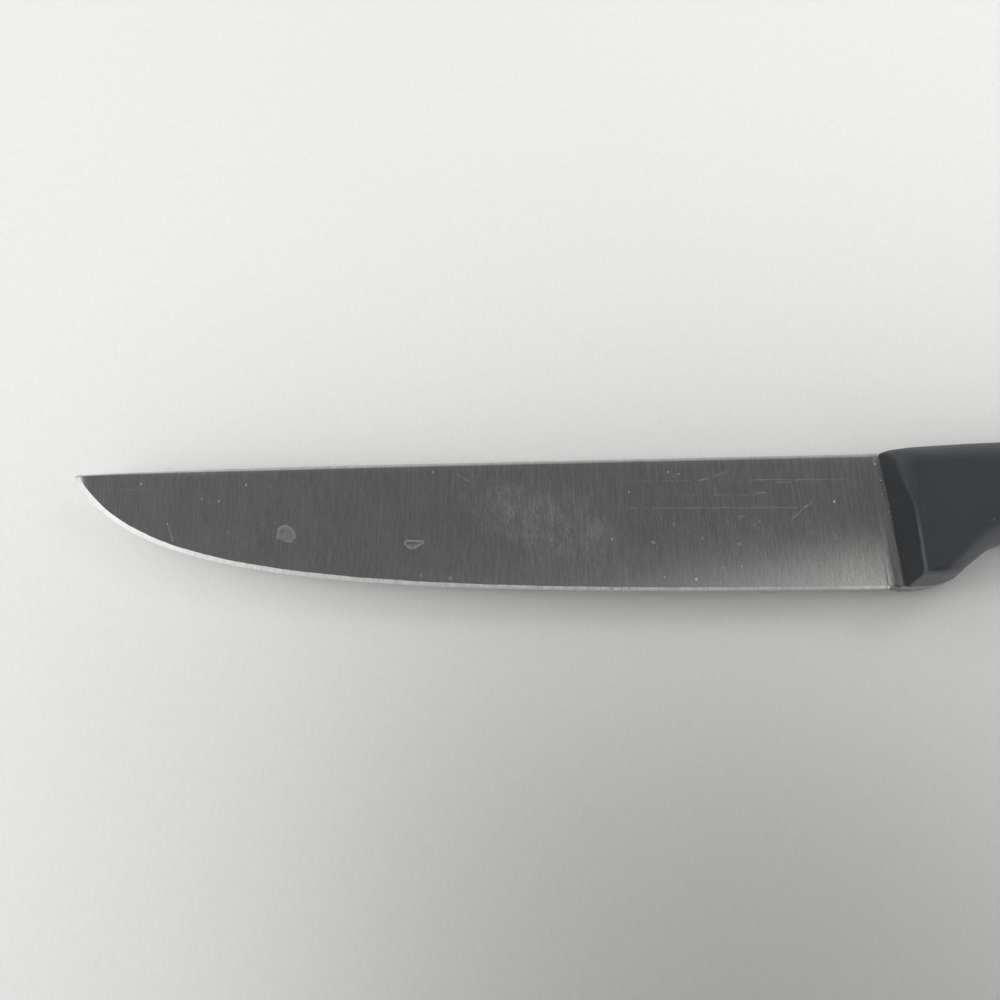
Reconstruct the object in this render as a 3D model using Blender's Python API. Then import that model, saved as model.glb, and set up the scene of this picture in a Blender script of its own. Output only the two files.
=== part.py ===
"""Kitchen utility knife with a full tang and riveted handle scales.

The knife lies on its right side, as on a worktop. X runs from the blade tip
(-X) to the butt of the handle (+X), Y runs from the cutting edge (-Y) to the
spine (+Y), and Z is the thickness. The origin is under the middle of the
knife, on the surface that it lies on.

Pieces: one steel blade with its tang, two moulded handle scales, and three
two-part compression rivets (a tubular sleeve half and a solid pin half each).
All the sizes below are in millimetres; MM turns them into metres.
"""

import math

import bmesh
import bpy

MM = 0.001

# ---------------------------------------------------------------- dimensions
# Blade. Stations along it are measured from the tip, heights from the spine
# line at the front of the handle.
BLADE_LENGTH = 149.8          # tip to the front of the handle
STOCK_THICKNESS = 2.2         # steel strip that the blade and tang are cut from
SPINE_DROP = 0.7              # how far the spine falls towards the tip
SPINE_DROP_LENGTH = 60.0      # and over what length
SPINE_ROUND = 0.85            # height of the rounded spine corners,
SPINE_ROUND_TIP = 0.35        # smaller at the tip
EDGE_TIP = (0.0, -1.6)        # cubic curve of the cutting edge: start,
EDGE_BELLY = (13.0, -19.5)    # belly handle,
EDGE_STRAIGHT = (39.0, -25.4)  # straight handle
EDGE_HEEL = (149.8, -25.8)    # and heel
BEVEL_WIDTH_TIP = 0.85        # sharpened bevel, measured square to the edge
BEVEL_WIDTH_HEEL = 0.50
SHOULDER_HALF = 0.24          # half thickness where the bevel meets the face
EDGE_HALF = 0.03              # half thickness of the edge itself
TIP_THINNING = 0.6            # how fast the spine thins towards the tip
RICASSO = 1.3                 # full-thickness steel left in front of the handle
PLUNGE = 1.2                  # run-out of the grind in front of the ricasso

# Handle. Stations run back from the front of the handle.
HANDLE_LENGTH = 112.0
HANDLE_THICKNESS = 13.2
TOP_LINE = ((0.0, 0.05), (5.0, 0.38), (12.0, 0.70), (20.0, 0.95), (34.0, 1.10),
            (55.0, 0.45), (78.0, -1.2), (98.0, -3.6), (112.0, -5.8))
GUARD_LINE = ((0.0, -25.85), (4.5, -25.70), (8.0, -24.80), (12.5, -21.70),
              (17.0, -18.90), (22.0, -17.65), (28.0, -17.45), (40.0, -18.9),
              (58.0, -21.0), (76.0, -20.9), (92.0, -20.5), (104.0, -22.0),
              (112.0, -23.8))
BUTT_TOP_ROUND = 8.5
BUTT_LOWER_ROUND = 5.0
BUTT_SIDE_ROUND = 4.5
TOP_ROUND = 5.0               # width of the rounding along the handle's back
GUARD_ROUND = 1.4             # edge rounding under the guard
GRIP_ROUND = 3.4              # edge rounding from the finger notch backwards
DRAFT = 0.22                  # inward slope of the scale's lower wall
FRONT_ROUND = (0.40, 0.50)    # rounded front edge: depth in the section and
                              # length along the handle
FRONT_EASE = (1.7, 5.0)       # longer easing of its upper part, the same way,
FRONT_EASE_FROM = -12.5       # which grows between these two heights
FRONT_EASE_TO = -4.5
FRONT_CORNER = (0.62, 2.3)    # drop and length of the rounding of its top corner
FRONT_RAKE = 0.31             # backward slope of the scale's front end, outwards
FRONT_RAKE_LOW = 0.20         # and the same near the guard
FRONT_LEAN = 0.031            # and downwards
FRONT_LEAN_HEIGHT = -6.45     # height at which the front end is at station 0
TANG_PROUD = 0.04             # steel standing proud of the plastic
FIT_GAP = 0.05                # scale to tang

# Rivets: one at each station, on the middle of the handle.
RIVET_STATIONS = (("front", 27.0), ("middle", 59.0), ("rear", 91.0))
RIVET_HEAD_RADIUS = 4.0
RIVET_HEAD_THICKNESS = 1.2
RIVET_HEAD_SUNK = 0.05        # below the scale's side face
SLEEVE_RADIUS = 2.5
SLEEVE_BORE_RADIUS = 1.65
SLEEVE_TOP = 4.2              # sleeve's open end, above the middle of the tang
PIN_RADIUS = 1.60
PIN_END = -4.4                # pin's inner end, below the middle of the tang
RIVET_CLEARANCE = 0.06
TANG_HOLE_RADIUS = 2.75
ROUND_SEGMENTS = 40

HALF_STOCK = STOCK_THICKNESS / 2
HALF_HANDLE = HANDLE_THICKNESS / 2


# ------------------------------------------------------------------- curves
def lerp(a, b, t):
    return a + (b - a) * t


def smooth(t):
    t = min(max(t, 0.0), 1.0)
    return t * t * (3 - 2 * t)


def bezier(t, p0, p1, p2, p3):
    s = 1 - t
    k = (s * s * s, 3 * s * s * t, 3 * s * t * t, t * t * t)
    return tuple(k[0] * a + k[1] * b + k[2] * c + k[3] * d
                 for a, b, c, d in zip(p0, p1, p2, p3))


def through(points, x):
    """Smooth curve through a few design stations (monotone cubic)."""
    n = len(points)
    step = [points[i + 1][0] - points[i][0] for i in range(n - 1)]
    slope = [(points[i + 1][1] - points[i][1]) / step[i] for i in range(n - 1)]
    tangent = [slope[0]]
    for i in range(1, n - 1):
        a, b = slope[i - 1], slope[i]
        if a * b <= 0:
            tangent.append(0.0)
        else:
            w1 = 2 * step[i] + step[i - 1]
            w2 = step[i] + 2 * step[i - 1]
            tangent.append((w1 + w2) / (w1 / a + w2 / b))
    tangent.append(slope[-1])
    x = min(max(x, points[0][0]), points[-1][0])
    i = 0
    while i < n - 2 and x > points[i + 1][0]:
        i += 1
    h = step[i]
    t = (x - points[i][0]) / h
    return ((2 * t ** 3 - 3 * t ** 2 + 1) * points[i][1]
            + (t ** 3 - 2 * t ** 2 + t) * h * tangent[i]
            + (-2 * t ** 3 + 3 * t ** 2) * points[i + 1][1]
            + (t ** 3 - t ** 2) * h * tangent[i + 1])


def round_end(v, radius):
    """Drop of a corner of this radius at the butt end of the handle."""
    d = v - (HANDLE_LENGTH - radius)
    if d <= 0:
        return 0.0
    return radius - math.sqrt(max(radius * radius - d * d, 0.0))


def handle_top(v):
    return through(TOP_LINE, v) - round_end(v, BUTT_TOP_ROUND)


def handle_lower(v):
    return through(GUARD_LINE, v) + round_end(v, BUTT_LOWER_ROUND)


def handle_middle(v):
    return (handle_top(v) + handle_lower(v)) / 2


def spine_height(u):
    return -SPINE_DROP * max(0.0, 1 - u / SPINE_DROP_LENGTH) ** 2


# ------------------------------------------------------------- mesh helpers
def material(name, colour, roughness, metallic):
    mat = bpy.data.materials.new(name)
    mat.use_nodes = True
    shader = mat.node_tree.nodes["Principled BSDF"]
    shader.inputs["Base Color"].default_value = (*colour, 1.0)
    shader.inputs["Roughness"].default_value = roughness
    shader.inputs["Metallic"].default_value = metallic
    return mat


def finish_object(name, bm, mat, parent):
    bmesh.ops.recalc_face_normals(bm, faces=bm.faces)
    mesh = bpy.data.meshes.new(name)
    bm.to_mesh(mesh)
    bm.free()
    mesh.shade_smooth()
    mesh.set_sharp_from_angle(angle=math.radians(28))
    obj = bpy.data.objects.new(name, mesh)
    bpy.context.collection.objects.link(obj)
    if mat is not None:
        mesh.materials.append(mat)
    obj.parent = parent
    return obj


def loft(rings):
    """Closed solid through rings of equal length, flat at both ends."""
    bm = bmesh.new()
    loops = [[bm.verts.new((x * MM, y * MM, z * MM)) for x, y, z in ring]
             for ring in rings]
    count = len(loops[0])
    for a, b in zip(loops[:-1], loops[1:]):
        for i in range(count):
            j = (i + 1) % count
            bm.faces.new((a[i], a[j], b[j], b[i]))
    bm.faces.new(loops[0])
    bm.faces.new(loops[-1])
    return bm


def turned(profile, segments=ROUND_SEGMENTS):
    """Solid of revolution about Z. The profile runs from axis to axis."""
    bm = bmesh.new()
    rows = []
    for r, z in profile:
        if r < 1e-9:
            rows.append([bm.verts.new((0, 0, z * MM))])
        else:
            rows.append([bm.verts.new((r * MM * math.cos(2 * math.pi * k / segments),
                                       r * MM * math.sin(2 * math.pi * k / segments),
                                       z * MM)) for k in range(segments)])
    for a, b in zip(rows[:-1], rows[1:]):
        for k in range(segments):
            m = (k + 1) % segments
            if len(a) == 1:
                bm.faces.new((a[0], b[k], b[m]))
            elif len(b) == 1:
                bm.faces.new((a[k], b[0], a[m]))
            else:
                bm.faces.new((a[k], b[k], b[m], a[m]))
    return bm


def cut(target, cutter):
    mod = target.modifiers.new("hole", "BOOLEAN")
    mod.operation = "DIFFERENCE"
    mod.solver = "EXACT"
    mod.object = cutter


def make_cutter(name, profile, x, y, parent):
    obj = finish_object(name, turned(profile), None, parent)
    obj.location = (x * MM, y * MM, 0.0)
    obj.hide_render = True
    obj.display_type = "WIRE"
    return obj


# -------------------------------------------------------------------- blade
FACE_STEPS = 4
ROUND_STEPS = 4


def half_section(points):
    """Both sides of a section given from the edge to the spine on +Z."""
    return points + [(y, -z) for y, z in reversed(points)]


def section(low_y, low_z, shoulder_y, shoulder_z, spine_y, spine_z,
            round_y, round_z):
    pts = [(low_y, low_z)]
    top = spine_y - round_y
    for k in range(FACE_STEPS + 1):
        t = k / FACE_STEPS
        pts.append((lerp(shoulder_y, top, t), lerp(shoulder_z, spine_z, t)))
    for k in range(1, ROUND_STEPS + 1):
        a = math.pi / 2 * k / ROUND_STEPS
        pts.append((top + round_y * math.sin(a),
                    spine_z - round_z * (1 - math.cos(a))))
    return half_section(pts)


def blade_section(t):
    """Station on the cutting-edge curve: x from the tip and its section."""
    u, edge = bezier(t, EDGE_TIP, EDGE_BELLY, EDGE_STRAIGHT, EDGE_HEEL)
    u2, edge2 = bezier(min(t + 0.002, 1.0), EDGE_TIP, EDGE_BELLY,
                       EDGE_STRAIGHT, EDGE_HEEL)
    u1, edge1 = bezier(max(t - 0.002, 0.0), EDGE_TIP, EDGE_BELLY,
                       EDGE_STRAIGHT, EDGE_HEEL)
    lean = math.atan2(abs(edge2 - edge1), u2 - u1)
    spine = spine_height(u)
    height = spine - edge
    full = -EDGE_HEEL[1]
    along = u / BLADE_LENGTH
    width = lerp(BEVEL_WIDTH_TIP, BEVEL_WIDTH_HEEL, along) / math.cos(lean)
    round_y = min(lerp(SPINE_ROUND_TIP, SPINE_ROUND, smooth(u / 45)), 0.35 * height)
    usable = height - round_y - 0.05
    reach = min(width, usable)
    shoulder = lerp(EDGE_HALF, SHOULDER_HALF, reach / width)
    thick = shoulder + (HALF_STOCK - shoulder) * ((height - reach) / full) ** TIP_THINNING
    return u, (edge, EDGE_HALF, edge + reach, shoulder, spine, thick,
               round_y, 0.75 * thick)


def tang_section(v):
    low = handle_lower(v) - TANG_PROUD
    top = handle_top(v) + TANG_PROUD
    edge = 0.12
    # the rounded spine fades into the square tang behind the handle's front
    fade = smooth((v - 0.3) / 2.2)
    return (low, HALF_STOCK - edge, low + edge, HALF_STOCK, top, HALF_STOCK,
            lerp(SPINE_ROUND, 2 * edge, fade),
            lerp(0.75 * HALF_STOCK, 2 * edge, fade))


def blade_rings():
    rings = []
    stations = 44
    grind_end = BLADE_LENGTH - RICASSO - PLUNGE
    for k in range(stations + 1):
        # closer together around the belly and tip
        t = (k / stations) ** 1.15
        u, sec = blade_section(t)
        if u >= grind_end:
            break
        rings.append((u - BLADE_LENGTH, section(*sec)))
    # the grind runs out in a soft curve, up to the ricasso
    heel = blade_section(1.0)[1]
    front = tang_section(0.0)
    for k in range(7):
        t = k / 6
        lift = smooth(t)
        mixed = tuple(lerp(a, b, lift) for a, b in zip(heel, front))
        rings.append((-RICASSO - PLUNGE * (1 - t), section(*mixed)))
    # tang, with closer stations at the guard and at the butt
    v = -RICASSO / 2
    rings.append((v, section(*tang_section(0.0))))
    for v in handle_stations():
        rings.append((v, section(*tang_section(v))))
    return [[(x, y, z) for y, z in sec] for x, sec in rings]


def handle_stations():
    out = []
    front_steps, body_steps, butt_steps = 6, 40, 10
    front_end, butt_start = 2.3, HANDLE_LENGTH - 9.0
    for k in range(front_steps):
        out.append(front_end * (1 - math.cos(math.pi / 2 * k / front_steps)))
    for k in range(body_steps):
        out.append(lerp(front_end, butt_start, (k / body_steps) ** 1.25))
    for k in range(butt_steps + 1):
        out.append(butt_start + 9.0 * math.sin(math.pi / 2 * k / butt_steps))
    return out


# ------------------------------------------------------------------- scales
LOWER_STEPS = 6
TOP_STEPS = 9


def scale_ring(v, side):
    """Section of a scale at station v, from the lower tang corner round the
    outside to the upper one. side is +1 for the left scale, -1 for the right."""
    top, low = handle_top(v), handle_lower(v)
    if v < FRONT_CORNER[1]:
        top -= FRONT_CORNER[0] * (1 - math.sqrt(1 - (1 - v / FRONT_CORNER[1]) ** 2))
    inner = HALF_STOCK + FIT_GAP
    outer = HALF_HANDLE - round_end(v, BUTT_SIDE_ROUND)
    slope = (handle_lower(v + 0.2) - handle_lower(max(v - 0.2, 0.0))) / 0.4
    if v > HANDLE_LENGTH - 6:
        slope = 0.0
    lean = math.cos(math.atan(slope))
    radius = lerp(GUARD_ROUND, GRIP_ROUND, smooth((v - 2.5) / 7.0))
    depth = outer - inner
    wide = min(radius / lean, 0.40 * (top - low))
    deep = min(radius * 1.15, 0.9 * depth)
    wide_top = min(TOP_ROUND, 0.45 * (top - low))
    points = [(low, inner, -1.0, 0.0)]
    wall = low + DRAFT * (depth - deep)
    for k in range(LOWER_STEPS + 1):
        a = math.pi / 2 * k / LOWER_STEPS
        points.append((wall + wide * (1 - math.cos(a)),
                       outer - deep + deep * math.sin(a),
                       -math.cos(a), math.sin(a)))
    for k in range(TOP_STEPS + 1):
        a = math.pi / 2 * k / TOP_STEPS
        points.append((top - wide_top + wide_top * math.sin(a),
                       outer - depth + depth * math.cos(a),
                       math.sin(a), math.cos(a)))
    ring = []
    for y, z, ny, nz in points:
        share = smooth((y - FRONT_EASE_FROM) / (FRONT_EASE_TO - FRONT_EASE_FROM))
        inset = (FRONT_EASE[0] * share * max(nz, 0.0) ** 1.2
                 * max(0.0, 1 - v / FRONT_EASE[1]) ** 2)
        if v < FRONT_ROUND[1]:
            inset += FRONT_ROUND[0] * (1 - math.sqrt(1 - (1 - v / FRONT_ROUND[1]) ** 2))
        # the corner against the tang stays full
        inset *= smooth((z - inner) / (0.4 * depth))
        y2 = y - ny * inset
        z2 = max(z - nz * inset, inner)
        steep = lerp(FRONT_RAKE, FRONT_RAKE_LOW, smooth((-14.0 - y2) / 10.0))
        rake = steep * (z2 - inner) - FRONT_LEAN * (y2 - FRONT_LEAN_HEIGHT)
        rake *= max(0.0, 1 - v / 14.0) ** 2
        ring.append((v + rake, y2, side * z2))
    return ring


def make_scale(name, side, mat, parent, holes):
    rings = [scale_ring(v, side) for v in handle_stations()]
    obj = finish_object(name, loft(rings), mat, parent)
    for hole in holes:
        cut(obj, hole)
    return obj


# -------------------------------------------------------------------- build
def main():
    for obj in list(bpy.data.objects):
        bpy.data.objects.remove(obj, do_unlink=True)

    steel = material("blade_steel", (0.36, 0.36, 0.35), 0.34, 1.0)
    plastic_left = material("left_scale_plastic", (0.022, 0.023, 0.026), 0.42, 0.0)
    plastic_right = material("right_scale_plastic", (0.022, 0.023, 0.026), 0.42, 0.0)

    # the knife's own reference point is on the spine line at the handle's
    # front; the empty sets it over the middle of the footprint
    samples = [k * HANDLE_LENGTH / 400 for k in range(401)]
    highest = max(handle_top(v) for v in samples) + TANG_PROUD
    lowest = min(handle_lower(v) for v in samples) - TANG_PROUD
    knife = bpy.data.objects.new("knife", None)
    bpy.context.collection.objects.link(knife)
    knife.location = ((BLADE_LENGTH - HANDLE_LENGTH) / 2 * MM,
                      -(highest + lowest) / 2 * MM, HALF_HANDLE * MM)

    blade = finish_object("blade", loft(blade_rings()), steel, knife)

    head = HALF_HANDLE - RIVET_HEAD_SUNK
    under = head - RIVET_HEAD_THICKNESS
    bore = SLEEVE_RADIUS + RIVET_CLEARANCE
    seat = RIVET_HEAD_RADIUS + RIVET_CLEARANCE
    left_holes, right_holes = [], []
    chamfer = 0.12
    for label, v in RIVET_STATIONS:
        y = handle_middle(v)
        floor = under - RIVET_CLEARANCE
        left_holes.append(make_cutter(label + "_left_hole", [
            (0, HALF_HANDLE + 1), (seat, HALF_HANDLE + 1), (seat, floor),
            (bore, floor), (bore, -1), (0, -1)], v, y, knife))
        right_holes.append(make_cutter(label + "_right_hole", [
            (0, 1), (bore, 1), (bore, -floor), (seat, -floor),
            (seat, -HALF_HANDLE - 1), (0, -HALF_HANDLE - 1)], v, y, knife))
        tang_hole = make_cutter(label + "_tang_hole", [
            (0, 3), (TANG_HOLE_RADIUS, 3), (TANG_HOLE_RADIUS, -3), (0, -3)],
            v, y, knife)
        cut(blade, tang_hole)

        sleeve_metal = material(label + "_rivet_sleeve_metal",
                                (0.62, 0.62, 0.60), 0.30, 1.0)
        sleeve = finish_object(label + "_rivet_sleeve", turned([
            (0, PIN_END - 0.4), (SLEEVE_BORE_RADIUS, PIN_END - 0.4),
            (SLEEVE_BORE_RADIUS, SLEEVE_TOP), (SLEEVE_RADIUS, SLEEVE_TOP),
            (SLEEVE_RADIUS, -under), (RIVET_HEAD_RADIUS, -under),
            (RIVET_HEAD_RADIUS, -head + chamfer),
            (RIVET_HEAD_RADIUS - chamfer, -head), (0, -head)]),
            sleeve_metal, knife)
        sleeve.location = (v * MM, y * MM, 0.0)

        pin_metal = material(label + "_rivet_pin_metal",
                             (0.62, 0.62, 0.60), 0.30, 1.0)
        pin = finish_object(label + "_rivet_pin", turned([
            (0, head), (RIVET_HEAD_RADIUS - chamfer, head),
            (RIVET_HEAD_RADIUS, head - chamfer), (RIVET_HEAD_RADIUS, under),
            (PIN_RADIUS, under), (PIN_RADIUS, PIN_END + chamfer),
            (PIN_RADIUS - chamfer, PIN_END), (0, PIN_END)]),
            pin_metal, knife)
        pin.location = (v * MM, y * MM, 0.0)

    make_scale("left_scale", 1, plastic_left, knife, left_holes)
    make_scale("right_scale", -1, plastic_right, knife, right_holes)


main()
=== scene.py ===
"""Looks of the kitchen utility knife: fine meshes, finishes, light and camera.

Every piece is rebuilt at a finer resolution from the same design curves as the
solid it stands for, in millimetres, and placed in the row frame in metres.
"""

import math

import bpy
import numpy as np
from mathutils import Matrix


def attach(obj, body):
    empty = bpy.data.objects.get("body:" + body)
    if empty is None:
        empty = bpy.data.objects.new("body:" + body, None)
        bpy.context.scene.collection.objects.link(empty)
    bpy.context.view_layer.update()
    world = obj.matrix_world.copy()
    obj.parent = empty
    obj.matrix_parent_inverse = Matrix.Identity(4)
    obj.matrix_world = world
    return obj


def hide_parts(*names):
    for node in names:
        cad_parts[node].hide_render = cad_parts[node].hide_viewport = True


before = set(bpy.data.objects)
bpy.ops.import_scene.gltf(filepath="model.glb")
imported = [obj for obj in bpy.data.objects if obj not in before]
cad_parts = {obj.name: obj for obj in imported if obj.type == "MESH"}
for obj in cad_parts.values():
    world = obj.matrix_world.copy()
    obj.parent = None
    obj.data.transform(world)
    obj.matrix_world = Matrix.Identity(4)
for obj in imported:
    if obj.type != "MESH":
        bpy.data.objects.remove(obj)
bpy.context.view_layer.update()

MM = 0.001

# ---------------------------------------------------------------- dimensions
BLADE_LENGTH = 149.8
HALF_STOCK = 1.1
SPINE_DROP, SPINE_DROP_LENGTH = 0.7, 60.0
SPINE_ROUND, SPINE_ROUND_TIP = 0.85, 0.35
EDGE_CURVE = ((0.0, -1.6), (13.0, -19.5), (39.0, -25.4), (149.8, -25.8))
BEVEL_WIDTH_TIP, BEVEL_WIDTH_HEEL = 0.85, 0.50
SHOULDER_HALF, EDGE_HALF, TIP_THINNING = 0.24, 0.03, 0.6
TIP_ROUND = 0.45
RICASSO, PLUNGE = 1.3, 1.2

HANDLE_LENGTH = 112.0
HALF_HANDLE = 6.6
TOP_LINE = ((0.0, 0.05), (5.0, 0.38), (12.0, 0.70), (20.0, 0.95), (34.0, 1.10),
            (55.0, 0.45), (78.0, -1.2), (98.0, -3.6), (112.0, -5.8))
GUARD_LINE = ((0.0, -25.85), (4.5, -25.70), (8.0, -24.80), (12.5, -21.70),
              (17.0, -18.90), (22.0, -17.65), (28.0, -17.45), (40.0, -18.9),
              (58.0, -21.0), (76.0, -20.9), (92.0, -20.5), (104.0, -22.0),
              (112.0, -23.8))
BUTT_TOP_ROUND, BUTT_LOWER_ROUND, BUTT_SIDE_ROUND = 8.5, 5.0, 4.5
TOP_ROUND, GUARD_ROUND, GRIP_ROUND, DRAFT = 5.0, 1.4, 3.4, 0.22
FRONT_ROUND, FRONT_EASE = (0.40, 0.50), (1.7, 5.0)
FRONT_EASE_FROM, FRONT_EASE_TO = -12.5, -4.5
FRONT_CORNER = (0.62, 2.3)
FRONT_RAKE, FRONT_RAKE_LOW = 0.31, 0.20
FRONT_LEAN, FRONT_LEAN_HEIGHT = 0.031, -6.45
TANG_PROUD, FIT_GAP = 0.04, 0.05

RIVET_STATIONS = (("front", 27.0), ("middle", 59.0), ("rear", 91.0))
HEAD_RADIUS, HEAD_THICKNESS, HEAD_SUNK = 4.0, 1.2, 0.05
SLEEVE_RADIUS, SLEEVE_BORE_RADIUS, SLEEVE_TOP = 2.5, 1.65, 4.2
PIN_RADIUS, PIN_END, RIVET_CLEARANCE, TANG_HOLE_RADIUS = 1.6, -4.4, 0.06, 2.75

# The photograph's camera, in the row frame: place in mm, axes, lens in mm on a
# 36 mm square sensor.
CAMERA_PLACE = (-51.76, -52.81, 158.05)
CAMERA_X = (0.99976, -0.02026, -0.00773)
CAMERA_Y = (0.02169, 0.93404, 0.35651)
CAMERA_Z = (0.0, -0.35660, 0.93426)
CAMERA_LENS = 31.68


# ------------------------------------------------------------------- curves
def lerp(a, b, t):
    return a + (b - a) * t


def smooth(t):
    t = min(max(t, 0.0), 1.0)
    return t * t * (3 - 2 * t)


def bezier(t, p0, p1, p2, p3):
    s = 1 - t
    k = (s * s * s, 3 * s * s * t, 3 * s * t * t, t * t * t)
    return tuple(k[0] * a + k[1] * b + k[2] * c + k[3] * d
                 for a, b, c, d in zip(p0, p1, p2, p3))


def through(points, x):
    """Smooth curve through a few design stations (monotone cubic)."""
    n = len(points)
    step = [points[i + 1][0] - points[i][0] for i in range(n - 1)]
    slope = [(points[i + 1][1] - points[i][1]) / step[i] for i in range(n - 1)]
    tangent = [slope[0]]
    for i in range(1, n - 1):
        a, b = slope[i - 1], slope[i]
        if a * b <= 0:
            tangent.append(0.0)
        else:
            w1 = 2 * step[i] + step[i - 1]
            w2 = step[i] + 2 * step[i - 1]
            tangent.append((w1 + w2) / (w1 / a + w2 / b))
    tangent.append(slope[-1])
    x = min(max(x, points[0][0]), points[-1][0])
    i = 0
    while i < n - 2 and x > points[i + 1][0]:
        i += 1
    h = step[i]
    t = (x - points[i][0]) / h
    return ((2 * t ** 3 - 3 * t ** 2 + 1) * points[i][1]
            + (t ** 3 - 2 * t ** 2 + t) * h * tangent[i]
            + (-2 * t ** 3 + 3 * t ** 2) * points[i + 1][1]
            + (t ** 3 - t ** 2) * h * tangent[i + 1])


def round_end(v, radius):
    d = v - (HANDLE_LENGTH - radius)
    if d <= 0:
        return 0.0
    return radius - math.sqrt(max(radius * radius - d * d, 0.0))


def handle_top(v):
    return through(TOP_LINE, v) - round_end(v, BUTT_TOP_ROUND)


def handle_lower(v):
    return through(GUARD_LINE, v) + round_end(v, BUTT_LOWER_ROUND)


def handle_middle(v):
    return (handle_top(v) + handle_lower(v)) / 2


def spine_height(u):
    return -SPINE_DROP * max(0.0, 1 - u / SPINE_DROP_LENGTH) ** 2


def edge_at(u):
    """Height and slope angle of the cutting edge at station u from the tip."""
    lo, hi = 0.0, 1.0
    for _ in range(40):
        mid = (lo + hi) / 2
        if bezier(mid, *EDGE_CURVE)[0] < u:
            lo = mid
        else:
            hi = mid
    t = (lo + hi) / 2
    a, b = bezier(max(t - 0.002, 0.0), *EDGE_CURVE), bezier(min(t + 0.002, 1.0), *EDGE_CURVE)
    return bezier(t, *EDGE_CURVE)[1], math.atan2(abs(b[1] - a[1]), b[0] - a[0])


SAMPLES = [k * HANDLE_LENGTH / 400 for k in range(401)]
PLACE = ((BLADE_LENGTH - HANDLE_LENGTH) / 2,
         -(max(handle_top(v) for v in SAMPLES) + min(handle_lower(v) for v in SAMPLES)) / 2,
         HALF_HANDLE)


# ------------------------------------------------------------- mesh helpers
def new_object(name, verts, faces, place=PLACE):
    """Mesh from points in mm, set at a place in mm in the row frame."""
    mesh = bpy.data.meshes.new(name)
    mesh.from_pydata([(x * MM, y * MM, z * MM) for x, y, z in verts], [], faces)
    mesh.validate()
    obj = bpy.data.objects.new(name, mesh)
    bpy.context.scene.collection.objects.link(obj)
    mesh.transform(Matrix.Translation([p * MM for p in place]))
    return obj


def loft(name, rings):
    """Closed solid through rings of equal length, flat at both ends."""
    m = len(rings[0])
    verts = [p for ring in rings for p in ring]
    faces = [tuple(reversed(range(m)))]
    for s in range(len(rings) - 1):
        a, b = s * m, (s + 1) * m
        for i in range(m):
            j = (i + 1) % m
            faces.append((a + i, a + j, b + j, b + i))
    last = (len(rings) - 1) * m
    faces.append(tuple(last + i for i in range(m)))
    return new_object(name, verts, faces)


def outward(obj):
    """Turns the faces so that the solid's volume is positive."""
    mesh = obj.data
    mesh.calc_loop_triangles()
    co = np.empty(len(mesh.vertices) * 3)
    mesh.vertices.foreach_get("co", co)
    co = co.reshape(-1, 3)
    tri = np.empty(len(mesh.loop_triangles) * 3, int)
    mesh.loop_triangles.foreach_get("vertices", tri)
    a, b, c = (co[tri.reshape(-1, 3)[:, k]] for k in range(3))
    if np.einsum("ij,ij->i", a, np.cross(b, c)).sum() < 0:
        mesh.flip_normals()


def turned(name, profile, segments=96, place=(0, 0, 0)):
    """Solid of revolution about Z. The profile runs from axis to axis."""
    verts, rows, faces = [], [], []
    for r, z in profile:
        row = []
        for k in range(1 if r < 1e-9 else segments):
            a = 2 * math.pi * k / segments
            row.append(len(verts))
            verts.append((r * math.cos(a), r * math.sin(a), z))
        rows.append(row)
    for a, b in zip(rows[:-1], rows[1:]):
        for k in range(segments):
            m = (k + 1) % segments
            if len(a) == 1:
                faces.append((a[0], b[k], b[m]))
            elif len(b) == 1:
                faces.append((a[k], b[0], a[m]))
            else:
                faces.append((a[k], b[k], b[m], a[m]))
    obj = new_object(name, verts, faces, place)
    outward(obj)
    return obj


def drill(obj, cutters):
    """Cuts the holes and keeps the result as the object's own mesh."""
    for cutter in cutters:
        mod = obj.modifiers.new("hole", "BOOLEAN")
        mod.operation, mod.solver, mod.object = "DIFFERENCE", "EXACT", cutter
    bpy.context.view_layer.update()
    graph = bpy.context.evaluated_depsgraph_get()
    mesh = bpy.data.meshes.new_from_object(obj.evaluated_get(graph))
    mesh.name = obj.name
    obj.modifiers.clear()
    obj.data = mesh
    for cutter in cutters:
        bpy.data.objects.remove(cutter, do_unlink=True)


def arc(cx, cz, radius, start, end, steps):
    """Points of an arc in a turned profile, angles in degrees."""
    out = []
    for k in range(steps + 1):
        a = math.radians(lerp(start, end, k / steps))
        out.append((cx + radius * math.cos(a), cz + radius * math.sin(a)))
    return out


# -------------------------------------------------------------------- blade
BEVEL_ROWS, FACE_ROWS, SPINE_ROWS = 3, 16, 9
HALF_COUNT = 1 + BEVEL_ROWS + FACE_ROWS + SPINE_ROWS
GRIND_END = BLADE_LENGTH - RICASSO - PLUNGE


def hand_ground(u):
    """Slight unevenness that hand sharpening leaves in the bevel's width."""
    wave = (0.45 * math.sin(0.55 * u + 0.4) + 0.30 * math.sin(1.35 * u + 1.9)
            + 0.25 * math.sin(3.1 * u + 0.7))
    return 1 + 0.07 * wave * smooth((u - 1.0) / 6.0)


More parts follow.
